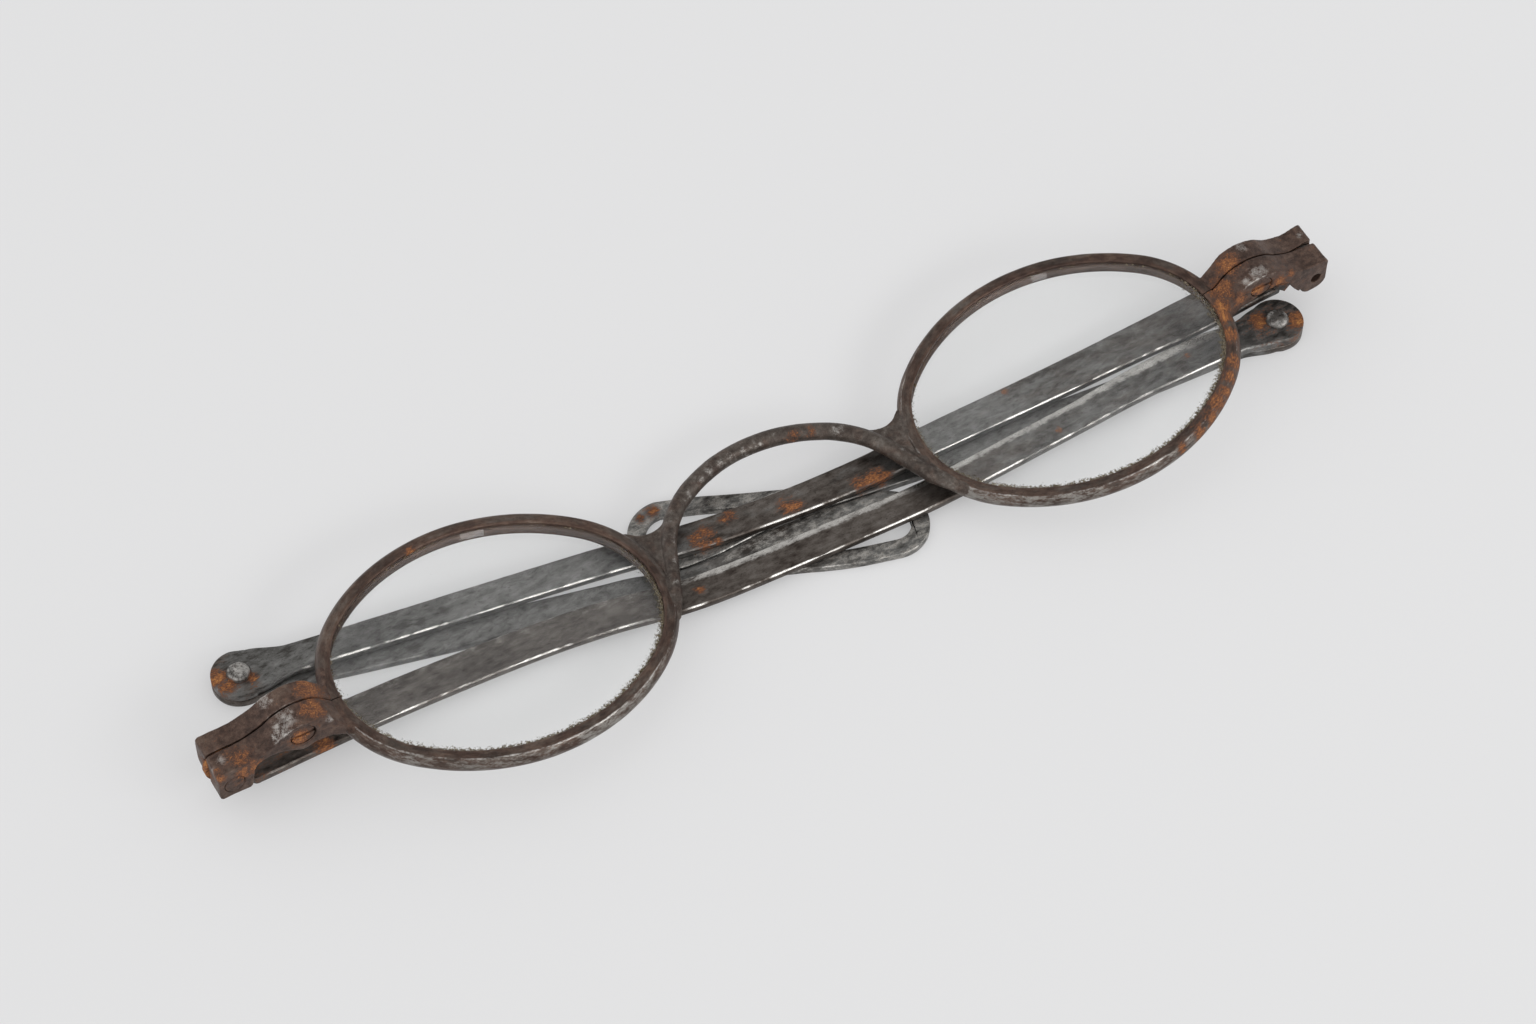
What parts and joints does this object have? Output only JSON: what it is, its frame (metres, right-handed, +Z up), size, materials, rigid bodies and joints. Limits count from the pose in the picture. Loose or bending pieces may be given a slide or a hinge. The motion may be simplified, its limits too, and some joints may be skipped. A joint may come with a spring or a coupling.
{
  "type": "turn-pin spectacles",
  "caption": "Folded antique spectacles with oval lenses, a wire saddle bridge, split end lugs, hinged flat temples and tips that turn on rivets and end in loops.",
  "frame": {"origin": "on the table under the middle of the front, midway between the two lenses", "axes": "+X along the line of the lens centres, from the left eye wire to the right one, +Y towards the brow side of the front, +Z up from the table through the front"},
  "size_m": [0.1172, 0.0266, 0.0088],
  "materials": {
    "patina": "dark brown patina, satin, worn on its high spots",
    "grey_steel": "grey, satin, with small rust patches",
    "brown_steel": "brown-grey, satin",
    "worn_steel": "light, worn smooth",
    "clear_glass": "clear, polished"
  },
  "bodies": {
    "front": {"left_eye_wire": "patina", "right_eye_wire": "patina", "bridge": "patina", "left_lug_brow": "patina", "left_lug_chin": "patina", "right_lug_brow": "patina", "right_lug_chin": "patina", "left_lens": "clear_glass", "right_lens": "clear_glass", "left_closing_screw": "brown_steel", "right_closing_screw": "brown_steel", "left_hinge_pin": "brown_steel", "right_hinge_pin": "brown_steel"},
    "left_temple": {"left_temple": "brown_steel", "left_turn_pin": "worn_steel"},
    "left_tip": {"left_tip": "brown_steel"},
    "right_temple": {"right_temple": "grey_steel", "right_turn_pin": "worn_steel"},
    "right_tip": {"right_tip": "grey_steel"}
  },
  "joints": [
    {"name": "left_temple_hinge", "type": "hinge", "parent": "front", "child": "left_temple", "pos_m": [-0.057, 0.0001, 0.00465], "axis": [0, 1, 0], "range_deg": [0, 95]},
    {"name": "right_temple_hinge", "type": "hinge", "parent": "front", "child": "right_temple", "pos_m": [0.0566, 0.00093, 0.00465], "axis": [0, -1, 0], "range_deg": [0, 95]},
    {"name": "left_tip_turn", "type": "hinge", "parent": "left_temple", "child": "left_tip", "pos_m": [0.05217, -0.00215, 0.0004], "axis": [0, 0, -1], "range_deg": [0, 175.2]},
    {"name": "right_tip_turn", "type": "hinge", "parent": "right_temple", "child": "right_tip", "pos_m": [-0.05105, 0.00986, 0.0004], "axis": [0, 0, -1], "range_deg": [0, 170.5]}
  ]
}
